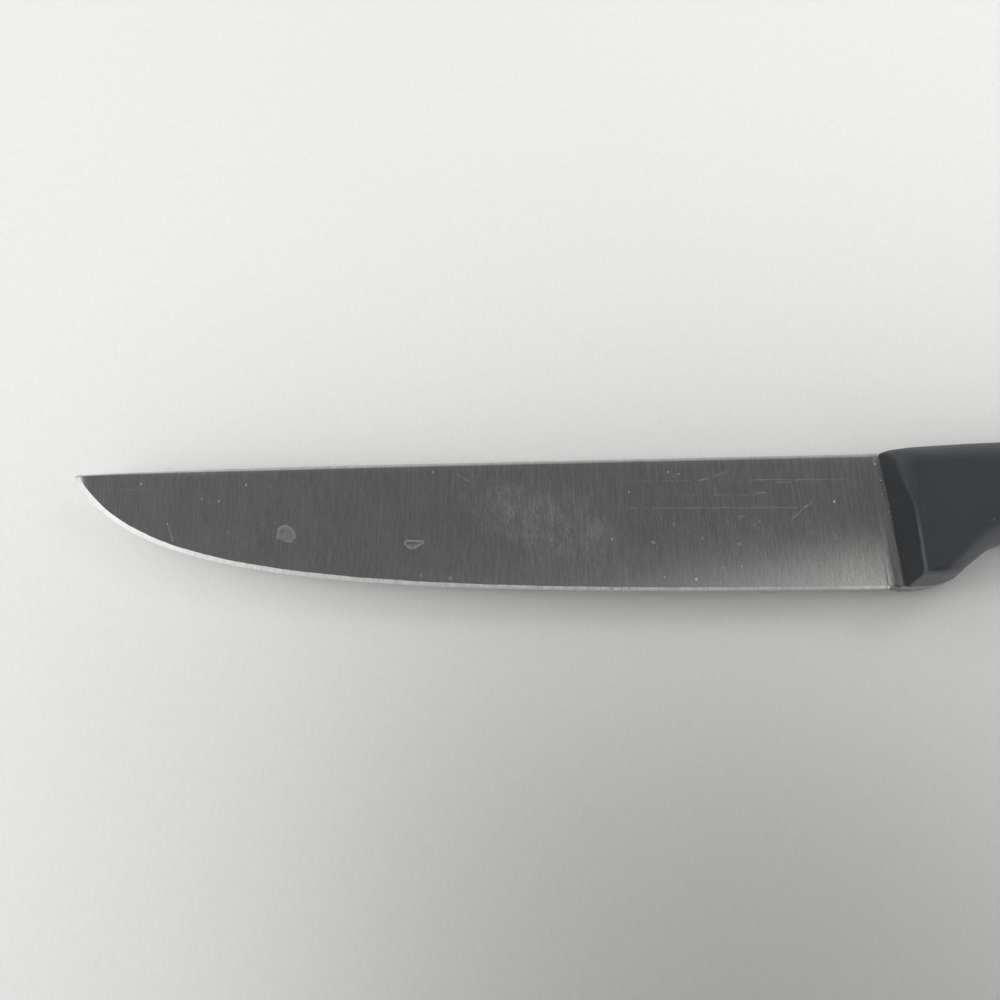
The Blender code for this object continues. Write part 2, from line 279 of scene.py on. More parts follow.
def blade_numbers(u):
    """Section at station u: edge y z, shoulder y z, spine y z, rounding y z."""
    edge, lean = edge_at(u)
    spine = spine_height(u)
    height = spine - edge
    width = lerp(BEVEL_WIDTH_TIP, BEVEL_WIDTH_HEEL, u / BLADE_LENGTH)
    width *= hand_ground(u) / math.cos(lean)
    round_y = min(lerp(SPINE_ROUND_TIP, SPINE_ROUND, smooth(u / 45)), 0.35 * height)
    reach = min(width, height - round_y - 0.05)
    shoulder = lerp(EDGE_HALF, SHOULDER_HALF, reach / width)
    thick = shoulder + (HALF_STOCK - shoulder) * (
        (height - reach) / -EDGE_CURVE[3][1]) ** TIP_THINNING
    return (edge, EDGE_HALF, edge + reach, shoulder, spine, thick,
            round_y, 0.75 * thick)


def tang_numbers(v):
    low, top = handle_lower(v) - TANG_PROUD, handle_top(v) + TANG_PROUD
    edge = 0.12
    fade = smooth((v - 0.3) / 2.2)
    return (low, HALF_STOCK - edge, low + edge, HALF_STOCK, top, HALF_STOCK,
            lerp(SPINE_ROUND, 2 * edge, fade), lerp(0.75 * HALF_STOCK, 2 * edge, fade))


def blade_ring(x, numbers, squeeze=1.0):
    low_y, low_z, sh_y, sh_z, sp_y, sp_z, rnd_y, rnd_z = numbers
    top = sp_y - rnd_y
    half = [(low_y, low_z)]
    for k in range(1, BEVEL_ROWS + 1):
        t = k / BEVEL_ROWS
        half.append((lerp(low_y, sh_y, t), lerp(low_z, sh_z, t)))
    for k in range(1, FACE_ROWS + 1):
        t = k / FACE_ROWS
        half.append((lerp(sh_y, top, t), lerp(sh_z, sp_z, t)))
    for k in range(1, SPINE_ROWS + 1):
        a = math.pi / 2 * k / SPINE_ROWS
        half.append((top + rnd_y * math.sin(a), sp_z - rnd_z * (1 - math.cos(a))))
    middle = (low_y + sp_y) / 2
    half = [(middle + (y - middle) * squeeze, z * max(squeeze, 0.3)) for y, z in half]
    return [(x, y, z) for y, z in half] + [(x, y, -z) for y, z in reversed(half)]


def blade_stations():
    out = [TIP_ROUND * (1 - math.cos(math.pi / 2 * k / 8)) for k in range(8)]
    u = TIP_ROUND
    while u < GRIND_END - 0.05:
        out.append(u)
        u += min(0.16 + 0.02 * u, 0.7)
    return out


def handle_stations(front=20, body=130, butt=36):
    front_end, butt_start = 2.3, HANDLE_LENGTH - 9.0
    out = [front_end * (1 - math.cos(math.pi / 2 * k / front)) for k in range(front)]
    out += [lerp(front_end, butt_start, (k / body) ** 1.2) for k in range(body)]
    out += [butt_start + 9.0 * math.sin(math.pi / 2 * k / butt) for k in range(butt + 1)]
    return out


def make_blade():
    rings, kinds = [], []
    for u in blade_stations():
        d = min(u / TIP_ROUND, 1.0)
        squeeze = max(math.sqrt(1 - (1 - d) ** 2), 0.12)
        rings.append(blade_ring(u - BLADE_LENGTH, blade_numbers(u), squeeze))
        kinds.append("ground")
    heel, front = blade_numbers(GRIND_END), tang_numbers(0.0)
    steps = 26
    for k in range(steps + 1):
        t = k / steps
        lift = smooth(t)
        mixed = tuple(lerp(a, b, lift) for a, b in zip(heel, front))
        rings.append(blade_ring(-RICASSO - PLUNGE * (1 - t), mixed))
        kinds.append("ground" if t < 0.22 else "plain")
    for k in range(1, 4):
        rings.append(blade_ring(-RICASSO * (1 - k / 4), front))
        kinds.append("plain")
    exposed = len(rings)
    for v in handle_stations():
        rings.append(blade_ring(v, tang_numbers(v)))
        kinds.append("plain")

    m = len(rings[0])
    ground = sum(k == "ground" for k in kinds)
    obj = loft("blade_visual", rings)
    mesh = obj.data

    # finishes: 0 face, 1 sharpened bevel, 2 spine and tang
    bevel_strips = set(range(BEVEL_ROWS)) | set(range(m - 1 - BEVEL_ROWS, m))
    first_spine = BEVEL_ROWS + FACE_ROWS
    spine_strips = set(range(first_spine, m - 1 - first_spine))
    slots = [1]
    for s in range(len(rings) - 1):
        for i in range(m):
            if s < ground and i in bevel_strips:
                slots.append(1)
            elif i in spine_strips or i in bevel_strips or rings[s][0][0] > 0.0:
                slots.append(2)
            else:
                slots.append(0)
    slots.append(2)
    mesh.polygons.foreach_set("material_index", slots)

    # grain coordinates: the face runs square to the edge's straight part, the
    # bevel follows the edge's own curve
    along = [0.0]
    for a, b in zip(rings[:-1], rings[1:]):
        along.append(along[-1] + math.hypot(b[0][0] - a[0][0], b[0][1] - a[0][1]))
    grain = mesh.uv_layers.new(name="grain")
    uv = np.zeros((len(mesh.loops), 2))
    for poly in mesh.polygons:
        bevel = slots[poly.index] == 1
        for li in poly.loop_indices:
            vi = mesh.loops[li].vertex_index
            s, i = divmod(vi, m)
            x, y, z = rings[s][i]
            if bevel:
                s2 = min(s + 1, len(rings) - 1)
                s1 = max(s - 1, 0)
                lean = math.atan2(rings[s1][0][1] - rings[s2][0][1],
                                  rings[s2][0][0] - rings[s1][0][0])
                up = y - rings[s][0][1]
                uv[li] = ((along[s] - up * math.sin(lean)) / 100, up * math.cos(lean) / 100)
            else:
                uv[li] = ((x + BLADE_LENGTH) / 100, y / 100 + (0.5 if z < 0 else 0.0))
    grain.data.foreach_set("uv", uv.ravel())

    outward(obj)
    mesh.shade_smooth()
    mesh.set_sharp_from_angle(angle=math.radians(28))
    # the bevel's shoulders and the edge itself stay crisp
    crisp = {0, BEVEL_ROWS, m - 1 - BEVEL_ROWS, m - 1}
    pairs = np.empty(len(mesh.edges) * 2, int)
    mesh.edges.foreach_get("vertices", pairs)
    pairs = pairs.reshape(-1, 2)
    row, ring = pairs % m, pairs // m
    hard = ((row[:, 0] == row[:, 1]) & np.isin(row[:, 0], list(crisp))
            & (ring.max(1) < exposed))
    sharp = mesh.attributes.get("sharp_edge") or mesh.attributes.new("sharp_edge", "BOOLEAN", "EDGE")
    flags = np.zeros(len(mesh.edges), bool)
    sharp.data.foreach_get("value", flags)
    sharp.data.foreach_set("value", flags | hard)

    holes = []
    for label, v in RIVET_STATIONS:
        holes.append(turned(label + "_tang_hole", [
            (0, 3), (TANG_HOLE_RADIUS, 3), (TANG_HOLE_RADIUS, -3), (0, -3)],
            64, (PLACE[0] + v, PLACE[1] + handle_middle(v), PLACE[2])))
    drill(obj, holes)
    return obj


# ------------------------------------------------------------------- scales
WALL_ROWS, LOWER_ROWS, SIDE_ROWS, TOP_ROWS = 4, 14, 16, 24


def scale_ring(v, side):
    """Section of a scale at station v, from the lower tang corner round the
    outside to the upper one. side is +1 for the left scale, -1 for the right."""
    top, low = handle_top(v), handle_lower(v)
    if v < FRONT_CORNER[1]:
        top -= FRONT_CORNER[0] * (1 - math.sqrt(1 - (1 - v / FRONT_CORNER[1]) ** 2))
    inner = HALF_STOCK + FIT_GAP
    outer = HALF_HANDLE - round_end(v, BUTT_SIDE_ROUND)
    slope = (handle_lower(v + 0.2) - handle_lower(max(v - 0.2, 0.0))) / 0.4
    if v > HANDLE_LENGTH - 6:
        slope = 0.0
    lean = math.cos(math.atan(slope))
    radius = lerp(GUARD_ROUND, GRIP_ROUND, smooth((v - 2.5) / 7.0))
    depth = outer - inner
    wide = min(radius / lean, 0.40 * (top - low))
    deep = min(radius * 1.15, 0.9 * depth)
    wide_top = min(TOP_ROUND, 0.45 * (top - low))
    wall = low + DRAFT * (depth - deep)
    points = []
    for k in range(WALL_ROWS):
        t = k / WALL_ROWS
        points.append((lerp(low, wall, t), lerp(inner, outer - deep, t), -1.0, 0.0))
    for k in range(LOWER_ROWS + 1):
        a = math.pi / 2 * k / LOWER_ROWS
        points.append((wall + wide * (1 - math.cos(a)),
                       outer - deep + deep * math.sin(a), -math.cos(a), math.sin(a)))
    side_low, side_top = wall + wide, top - wide_top
    for k in range(1, SIDE_ROWS):
        points.append((lerp(side_low, side_top, k / SIDE_ROWS), outer, 0.0, 1.0))
    for k in range(TOP_ROWS + 1):
        a = math.pi / 2 * k / TOP_ROWS
        points.append((top - wide_top + wide_top * math.sin(a),
                       outer - depth + depth * math.cos(a), math.sin(a), math.cos(a)))
    ring = []
    for y, z, ny, nz in points:
        share = smooth((y - FRONT_EASE_FROM) / (FRONT_EASE_TO - FRONT_EASE_FROM))
        inset = (FRONT_EASE[0] * share * max(nz, 0.0) ** 1.2
                 * max(0.0, 1 - v / FRONT_EASE[1]) ** 2)
        if v < FRONT_ROUND[1]:
            inset += FRONT_ROUND[0] * (1 - math.sqrt(1 - (1 - v / FRONT_ROUND[1]) ** 2))
        inset *= smooth((z - inner) / (0.4 * depth))
        y2 = y - ny * inset
        z2 = max(z - nz * inset, inner)
        steep = lerp(FRONT_RAKE, FRONT_RAKE_LOW, smooth((-14.0 - y2) / 10.0))
        rake = steep * (z2 - inner) - FRONT_LEAN * (y2 - FRONT_LEAN_HEIGHT)
        rake *= max(0.0, 1 - v / 14.0) ** 2
        ring.append((v + rake, y2, side * z2))
    return ring


def make_scale(name, side):
    obj = loft(name, [scale_ring(v, side) for v in handle_stations()])
    outward(obj)
    head = HALF_HANDLE - HEAD_SUNK
    floor = head - HEAD_THICKNESS - RIVET_CLEARANCE
    bore, seat, rim = SLEEVE_RADIUS + RIVET_CLEARANCE, HEAD_RADIUS + RIVET_CLEARANCE, 0.12
    holes = []
    for label, v in RIVET_STATIONS:
        profile = [(0, -1), (bore, -1), (bore, floor), (seat, floor)]
        profile += arc(seat + rim, HALF_HANDLE - rim, rim, 180, 90, 6)
        profile += [(seat + rim, HALF_HANDLE + 1), (0, HALF_HANDLE + 1)]
        holes.append(turned(f"{label}_{name}_hole", [(r, side * z) for r, z in profile],
                            96, (PLACE[0] + v, PLACE[1] + handle_middle(v), PLACE[2])))
    drill(obj, holes)
    obj.data.shade_smooth()
    obj.data.set_sharp_from_angle(angle=math.radians(32))
    return obj


# ------------------------------------------------------------------- rivets
def head_profile(head, under):
    """Rivet head from its middle to its shank side: ground flat with a faint
    crown, a rolled rim and a relieved underside."""
    rim = 0.16
    out = []
    for k in range(9):
        r = (HEAD_RADIUS - rim) * k / 8
        out.append((r, head + 0.03 * (1 - (r / HEAD_RADIUS) ** 2)))
    out += arc(HEAD_RADIUS - rim, head - rim, rim, 84, 0, 6)
    out += [(HEAD_RADIUS, under + 0.08), (HEAD_RADIUS - 0.08, under)]
    return out


def make_rivet(label, v):
    head = HALF_HANDLE - HEAD_SUNK
    under = head - HEAD_THICKNESS
    place = (PLACE[0] + v, PLACE[1] + handle_middle(v), PLACE[2])
    pin = turned(label + "_rivet_pin_visual",
                 head_profile(head, under)
                 + [(PIN_RADIUS + 0.15, under), (PIN_RADIUS, under - 0.15),
                    (PIN_RADIUS, PIN_END + 0.25), (PIN_RADIUS - 0.25, PIN_END), (0, PIN_END)])
    sleeve = turned(label + "_rivet_sleeve_visual",
                    [(r, -z) for r, z in head_profile(head, under)]
                    + [(SLEEVE_RADIUS + 0.05, -under), (SLEEVE_RADIUS, -under + 0.05),
                       (SLEEVE_RADIUS, SLEEVE_TOP - 0.12), (SLEEVE_RADIUS - 0.12, SLEEVE_TOP),
                       (SLEEVE_BORE_RADIUS + 0.12, SLEEVE_TOP),
                       (SLEEVE_BORE_RADIUS, SLEEVE_TOP - 0.12),
                       (SLEEVE_BORE_RADIUS, PIN_END - 0.4), (0, PIN_END - 0.4)])
    for obj in (pin, sleeve):
        obj.location = [p * MM for p in place]
        obj.data.shade_smooth()
        obj.data.set_sharp_from_angle(angle=math.radians(32))
    return pin, sleeve


# ---------------------------------------------------------- material helpers
class Graph:
    """Small helper that writes a node material."""

    def __init__(self, name):
        self.mat = bpy.data.materials.new(name)
        self.mat.use_nodes = True
        self.tree = self.mat.node_tree
        self.shader = self.tree.nodes["Principled BSDF"]

    def node(self, kind, **props):
        made = self.tree.nodes.new(kind)
        for key, value in props.items():
            setattr(made, key, value)
        return made

    def put(self, socket, value):
        if isinstance(value, bpy.types.NodeSocket):
            self.tree.links.new(value, socket)
        else:
            socket.default_value = value

    def math(self, op, a, b=0.0, c=0.0, clamp=False):
        made = self.node("ShaderNodeMath", operation=op, use_clamp=clamp)
        for socket, value in zip(made.inputs, (a, b, c)):
            self.put(socket, value)
        return made.outputs[0]

    def vmath(self, op, a, b=(0, 0, 0), scale=1.0):
        made = self.node("ShaderNodeVectorMath", operation=op)
        self.put(made.inputs[0], a)
        if op == "SCALE":
            self.put(made.inputs["Scale"], scale)
        elif op != "LENGTH":
            self.put(made.inputs[1], b)
        return made.outputs["Value" if op in ("DOT_PRODUCT", "LENGTH", "DISTANCE") else "Vector"]

    def ramp(self, x, lo, hi, out_lo=0.0, out_hi=1.0, kind="SMOOTHSTEP"):
        made = self.node("ShaderNodeMapRange", interpolation_type=kind, clamp=True)
        for key, value in (("Value", x), ("From Min", lo), ("From Max", hi),
                           ("To Min", out_lo), ("To Max", out_hi)):
            self.put(made.inputs[key], value)
        return made.outputs[0]

    def noise(self, vector, scale=1.0, detail=2.0, rough=0.5, distortion=0.0, colour=False):
        made = self.node("ShaderNodeTexNoise")
        self.put(made.inputs["Vector"], vector)
        for key, value in (("Scale", scale), ("Detail", detail), ("Roughness", rough),
                           ("Distortion", distortion)):
            made.inputs[key].default_value = value
        return made.outputs["Color" if colour else 0]

    def voronoi(self, vector, scale=1.0, rand=1.0):
        made = self.node("ShaderNodeTexVoronoi")
        self.put(made.inputs["Vector"], vector)
        made.inputs["Scale"].default_value = scale
        made.inputs["Randomness"].default_value = rand
        return made.outputs["Distance"], made.outputs["Color"]

    def mix(self, fac, a, b):
        made = self.node("ShaderNodeMix", data_type="RGBA")
        self.put(made.inputs[0], fac)
        for socket, value in ((made.inputs[6], a), (made.inputs[7], b)):
            self.put(socket, (*value, 1.0) if isinstance(value, tuple) else value)
        return made.outputs[2]

    def tint(self, colour, value):
        """Colour times a changing grey value."""
        made = self.node("ShaderNodeVectorMath", operation="SCALE")
        self.put(made.inputs[0], colour)
        self.put(made.inputs["Scale"], value)
        return made.outputs["Vector"]

    def split(self, vector):
        made = self.node("ShaderNodeSeparateXYZ")
        self.put(made.inputs[0], vector)
        return made.outputs

    def join(self, x, y, z=0.0):
        made = self.node("ShaderNodeCombineXYZ")
        for socket, value in zip(made.inputs, (x, y, z)):
            self.put(socket, value)
        return made.outputs[0]

    def place_mm(self):
        """The surface point in the piece's own frame, in millimetres."""
        coord = self.node("ShaderNodeTexCoord")
        return self.vmath("SCALE", coord.outputs["Object"], scale=1000.0)

    def bump(self, height, strength, distance, normal=None):
        made = self.node("ShaderNodeBump")
        made.inputs["Strength"].default_value = strength
        made.inputs["Distance"].default_value = distance
        self.put(made.inputs["Height"], height)
        if normal is not None:
            self.put(made.inputs["Normal"], normal)
        return made.outputs[0]

    # marks on a flat face, in mm
    def spot(self, p, centre, radius, soft=0.5):
        d = self.vmath("DISTANCE", p, (*centre, 0.0)[:3])
        return self.ramp(d, radius, radius * (1 - soft))

    def stroke(self, p, a, b, width):
        """A fine straight mark from a to b."""
        length = math.hypot(b[0] - a[0], b[1] - a[1])
        along = ((b[0] - a[0]) / length, (b[1] - a[1]) / length, 0.0)
        across = (-along[1], along[0], 0.0)
        rel = self.vmath("SUBTRACT", p, (*a, 0.0))
        off = self.math("ABSOLUTE", self.vmath("DOT_PRODUCT", rel, across))
        line = self.ramp(off, width, width * 0.35)
        t = self.math("ABSOLUTE", self.math(
            "SUBTRACT", self.vmath("DOT_PRODUCT", rel, along), length / 2))
        return self.math("MULTIPLY", line, self.ramp(t, length / 2, length / 2 * 0.72))

    def inside(self, p, corners):
        """Depth inside a convex outline whose corners run clockwise."""
        depth = None
        for a, b in zip(corners, corners[1:] + corners[:1]):
            length = math.hypot(b[0] - a[0], b[1] - a[1])
            inward = ((b[1] - a[1]) / length, (a[0] - b[0]) / length, 0.0)
            d = self.vmath("DOT_PRODUCT", self.vmath("SUBTRACT", p, (*a, 0.0)), inward)
            depth = d if depth is None else self.math("MINIMUM", depth, d)
        return depth

    def add_all(self, values):
        total = values[0]
        for value in values[1:]:
            total = self.math("ADD", total, value)
        return total

    def most(self, values):
        total = values[0]
        for value in values[1:]:
            total = self.math("MAXIMUM", total, value)
        return total


# -------------------------------------------------------------------- steel
STEEL = (0.545, 0.556, 0.552)

# marks of use on the left face: (x, y) in mm in the row frame
BLOT_SPOT = ((-92.4, -1.6), (-92.2, 0.3), (-90.7, 0.95), (-89.4, 0.1), (-88.8, -1.45), (-89.7, -2.7))
PICK_SPOT = ((-69.2, -2.7), (-65.8, -2.8), (-65.8, -3.2), (-67.8, -4.25), (-68.9, -3.6))
SCRATCHES = (  # from, to, half width, strength
    ((0.88, -0.53), (3.38, 1.75), 0.11, 0.55),
    ((3.20, 1.62), (5.49, 3.21), 0.11, 0.72),
    ((-7.23, 7.55), (13.38, 7.17), 0.13, 0.34),
    ((-1.04, 6.91), (2.10, 6.91), 0.13, 0.42),
    ((-4.96, 5.02), (-2.76, 4.97), 0.13, 0.50),
    ((-20.0, 4.85), (-2.0, 4.62), 0.12, 0.17),
    ((-31.5, 2.65), (6.0, 1.93), 0.12, 0.34),
    ((-27.5, 7.75), (-15.5, 7.60), 0.12, 0.22),
    ((-8.96, 0.59), (-7.14, 0.58), 0.14, 0.42),
    ((-15.35, 7.54), (-12.88, 8.18), 0.13, 0.52),
    ((-12.88, 8.18), (-8.46, 9.68), 0.13, 0.34),
    ((7.96, -2.38), (8.95, -4.56), 0.20, 0.30),
    ((-112.52, 1.56), (-111.01, -2.02), 0.13, 0.45),
    ((-122.69, 8.46), (-116.21, 8.40), 0.12, 0.25),
    ((-19.89, 8.34), (-18.34, 9.11), 0.13, 0.45),
    ((-59.82, 10.08), (-57.23, 8.22), 0.13, 0.28),
)
SPECKS = (  # place, radius, strength
    ((9.22, 2.98), 0.30, 1.0), ((-17.20, -10.97), 0.34, 0.9), ((-22.81, -10.36), 0.26, 0.6),
    ((-118.14, 9.44), 0.26, 0.6), ((-98.59, 8.79), 0.34, 0.45), ((-103.50, 5.70), 0.28, 0.45),
    ((-106.56, 6.20), 0.40, 0.18), ((-101.19, -0.33), 0.45, 0.12), ((-64.09, 10.44), 0.40, 0.30),
    ((-28.03, 5.67), 0.20, 0.75), ((-31.74, -3.18), 0.24, 0.5), ((-24.33, -3.99), 0.42, 0.35),
    ((-20.34, -0.65), 0.40, 0.30), ((-18.72, 8.98), 0.24, 0.5), ((-20.57, 9.44), 0.28, 0.4),
    ((-60.93, -9.84), 0.50, 0.25), ((-66.12, -9.15), 0.55, 0.15), ((-12.37, -8.92), 0.22, 0.6),
    ((-8.91, -8.83), 0.22, 0.5), ((-15.36, -3.40), 0.42, 0.22), ((-8.92, -4.67), 0.45, 0.2),
    ((-5.89, -1.10), 0.30, 0.25), ((-4.81, -0.44), 0.26, 0.25), ((-10.53, -0.50), 0.30, 0.22),
    ((-112.52, 1.56), 0.22, 0.45), ((17.78, 10.10), 0.26, 0.8), ((18.31, 6.77), 0.22, 0.9),
    ((17.98, 4.13), 0.26, 0.4), ((18.60, 0.61), 0.20, 0.4),
)


def steel_finish(g, streak, patch, speckle):
    """Brushed steel: streaks along the grind in two lengths, soft patches and
    fine speckle, as a brightness round 1."""
    p = g.place_mm()
    x, y, z = g.split(p)
    fine = g.noise(g.join(g.math("MULTIPLY", x, 3.5), g.math("MULTIPLY", y, 0.26),
                          g.math("MULTIPLY", z, 0.3)), 1.0, 2.0, 0.6)
    long = g.noise(g.join(g.math("MULTIPLY", x, 2.4), g.math("MULTIPLY", y, 0.035),
                          g.math("MULTIPLY", z, 0.3)), 1.0, 3.0, 0.6)
    cloud = g.noise(g.join(g.math("MULTIPLY", x, 0.16), g.math("MULTIPLY", y, 0.10),
                           g.math("MULTIPLY", z, 0.2)), 1.0, 3.0, 0.55)
    dots = g.noise(p, 4.6, 2.0, 0.6)
    value = g.add_all([
        1.0,
        g.math("MULTIPLY", g.math("SUBTRACT", fine, 0.5), g.ramp(dots, 0.3, 0.7, 0.4 * streak, 1.6 * streak)),
        g.math("MULTIPLY", g.math("SUBTRACT", long, 0.5), streak * 0.5),
        g.math("MULTIPLY", g.math("SUBTRACT", cloud, 0.5), patch),
        g.math("MULTIPLY", g.math("SUBTRACT", dots, 0.5), speckle)])
    return p, (x, y, z), fine, cloud, dots, value


def along_grain(g):
    made = g.node("ShaderNodeTangent", direction_type="UV_MAP", uv_map="grain")
    g.put(g.shader.inputs["Tangent"], made.outputs[0])


def make_face_steel():
    g = Graph("blade_face_steel")
    p, (x, y, z), fine, cloud, dots, value = steel_finish(g, 0.36, 0.20, 0.38)
    left = g.ramp(z, HALF_HANDLE - 0.1, HALF_HANDLE + 0.1)   # marks of the left face only
    flat = g.join(x, y)
    wobble = g.vmath("SUBTRACT", g.noise(flat, 0.9, 1.0, 0.5, colour=True), (0.5, 0.5, 0.5))
    bent = g.vmath("ADD", flat, g.vmath("MULTIPLY", wobble, (0.30, 0.30, 0.0)))

    # dried drop: a pale crust, thicker along its border and towards the top
    edgy = g.vmath("ADD", flat, g.vmath("MULTIPLY", wobble, (0.7, 0.7, 0.0)))
    depth = g.inside(edgy, BLOT_SPOT)
    crusted = g.add_all([0.27, g.ramp(depth, 0.50, 0.12, 0.0, 0.26), g.ramp(y, -0.35, 0.35, 0.0, 0.14),
                         g.math("MULTIPLY", g.spot(flat, (-91.3, -0.25), 0.85, 0.7), -0.16)])
    blot_spot = g.math("MULTIPLY", crusted, g.ramp(depth, -0.08, 0.12))
    # dried drop with a pointed outline, filled at its lower end
    sides = [g.stroke(bent, a, b, 0.24) for a, b in
             zip(PICK_SPOT, PICK_SPOT[1:] + PICK_SPOT[:1])]
    filled = g.math("MULTIPLY", g.ramp(g.inside(bent, PICK_SPOT), -0.05, 0.15),
                    g.ramp(y, -3.1, -3.7, 0.04, 0.36))
    drops = g.most([blot_spot, filled, g.math("MULTIPLY", g.most(sides), 0.70)])

    wander = g.vmath("ADD", flat, g.vmath("MULTIPLY", wobble, (0.0, 0.28, 0.0)))
    scratches = g.most([g.math("MULTIPLY", g.stroke(wander, a, b, w), s)
                        for a, b, w, s in SCRATCHES])
    worn = g.ramp(g.noise(g.join(g.math("MULTIPLY", x, 0.8), y), 1.0, 2.0, 0.6),
                  0.36, 0.56, 0.35, 1.0)
    scratches = g.math("MULTIPLY", scratches, g.math("MULTIPLY", worn, 1.35))
    specks = g.most([g.math("MULTIPLY", g.spot(bent, c, r, 0.7), s * 2.1) for c, r, s in SPECKS])

    # handling smear in the middle of the blade, streaky along the grind
    cx = g.math("DIVIDE", g.add_all([x, 43.0, g.math("MULTIPLY", y, 0.75)]), 12.5)
    cy = g.math("DIVIDE", g.math("SUBTRACT", y, 0.8), 8.2)
    oval = g.math("SQRT", g.math("ADD", g.math("MULTIPLY", cx, cx), g.math("MULTIPLY", cy, cy)))
    blot = g.noise(g.join(g.math("MULTIPLY", x, 0.46), g.math("MULTIPLY", y, 0.26)), 1.0, 3.0, 0.6)
    dash = g.noise(g.join(g.math("MULTIPLY", x, 4.2), g.math("MULTIPLY", y, 1.1)), 1.0, 2.0, 0.6)
    smear = g.math("MULTIPLY", g.ramp(g.math("ADD", oval, g.math("MULTIPLY", blot, 1.1)), 1.75, 0.85),
                   g.math("MULTIPLY", g.ramp(dash, 0.38, 0.62, 0.10, 1.15),
                          g.ramp(blot, 0.62, 0.36, 0.35, 1.0)))
    # faint speckle along the spine near the tip
    crust = g.math("MULTIPLY", g.ramp(g.math("ABSOLUTE", g.math("ADD", x, 108.6)), 5.5, 3.0),
                   g.math("MULTIPLY", g.ramp(y, 10.1, 11.0), g.ramp(dots, 0.50, 0.68)))
    # dull residue in the corner against the handle's sloping front
    gap = g.math("ADD", g.math("SUBTRACT", x, PLACE[0]), g.math(
        "MULTIPLY", g.math("SUBTRACT", y, PLACE[1] + FRONT_LEAN_HEIGHT), FRONT_LEAN))
    corner = g.math("MULTIPLY", g.ramp(gap, -0.27, -0.08), g.ramp(gap, 0.6, 0.3))
    corner = g.math("MULTIPLY", corner, g.ramp(
        g.noise(g.join(x, y), 1.1, 2.0, 0.7), 0.38, 0.62, 0.15, 0.75))
    corner = g.math("MULTIPLY", corner, g.ramp(y, 9.0, -7.0, 0.35, 1.0))
    # the last millimetres in front of the handle are duller
    dull = g.math("MULTIPLY", g.ramp(gap, -1.9, -1.1), g.ramp(y, 8.0, -12.0, 0.16, 0.42))

    marks = g.most([drops, scratches, specks, g.math("MULTIPLY", smear, 0.36),
                    g.math("MULTIPLY", crust, 0.4)])
    marks = g.math("MULTIPLY", g.math("MULTIPLY", marks, g.ramp(dots, 0.25, 0.6, 0.75, 1.0)), left)
    # sparse dust on both faces
    far, pick = g.voronoi(p, 0.42)
    dust = g.math("MULTIPLY", g.ramp(far, 0.085, 0.04), g.ramp(g.split(pick)[0], 0.86, 0.94))
    # painted highlight: the grind's run-out is paler and less metallic towards its left, standing in for its
    # reflection
    runout_highlight = g.math("MULTIPLY", g.math("MULTIPLY", g.ramp(gap, -3.0, -2.75), g.ramp(gap, -2.15, -2.6)),
                    g.math("MULTIPLY", g.ramp(y, -1.0, -10.0, 0.0, 0.34), g.ramp(gap, -2.5, -2.65, 1.0, 1.7)))
    marks = g.add_all([g.most([marks, corner, g.math("MULTIPLY", dust, 0.30)]), dull, runout_highlight])

    # dark hairlines left by coarser grit, and one dark scratch
    hair = g.noise(g.join(g.math("MULTIPLY", x, 3.6), g.math("MULTIPLY", y, 0.09)), 1.0, 1.0, 0.5)
    dark = g.math("MULTIPLY", g.stroke(flat, (7.55, 11.32), (8.97, 3.12), 0.14),
                  g.math("MULTIPLY", left, 0.14))
    # painted shade: the ricasso's lower edge is darkened to damp its highlight
    rim = g.math("MULTIPLY", g.ramp(y, -12.7, -13.2), g.ramp(gap, -4.0, -2.4))
    # short crisp dashes of the grind, livelier towards the heel's lower corner, where a painted highlight also
    # makes the steel a little brighter and warmer
    heel_dashes_and_highlight = g.math("MULTIPLY", g.ramp(x, -8.0, 13.0), g.ramp(y, 0.0, -8.0))
    dashes = g.noise(g.join(g.math("MULTIPLY", x, 4.8), g.math("MULTIPLY", y, 0.8), 3.7), 1.0, 2.0, 0.7)
    dashes = g.math("MULTIPLY", g.math("SUBTRACT", dashes, 0.5),
                    g.math("ADD", 0.30, g.math("MULTIPLY", heel_dashes_and_highlight, 0.38)))
    value = g.add_all([value, g.ramp(hair, 0.68, 0.80, 0.0, -0.14), g.math("MULTIPLY", dark, -1.0),
                       g.math("MULTIPLY", rim, -0.42), dashes, g.math("MULTIPLY", heel_dashes_and_highlight, 0.03)])
    steel = g.tint(g.mix(heel_dashes_and_highlight, STEEL, (0.556, 0.556, 0.540)), value)
    g.put(g.shader.inputs["Base Color"],
          g.mix(g.math("MINIMUM", marks, 1.0), steel, (0.71, 0.725, 0.69)))
    g.put(g.shader.inputs["Metallic"], g.math(
        "MAXIMUM", g.math("SUBTRACT", 1.0, g.math("MULTIPLY", marks, 0.28)), 0.45))
    rough = g.add_all([0.140, g.math("MULTIPLY", fine, 0.05), g.math("MULTIPLY", cloud, 0.03),
                       g.math("MULTIPLY", g.math("MINIMUM", marks, 1.0), 0.12)])
    g.put(g.shader.inputs["Roughness"], rough)
    g.shader.inputs["Anisotropic"].default_value = 1.0
    along_grain(g)
    g.put(g.shader.inputs["Normal"], g.bump(fine, 0.10, 0.00002))
    return g.mat


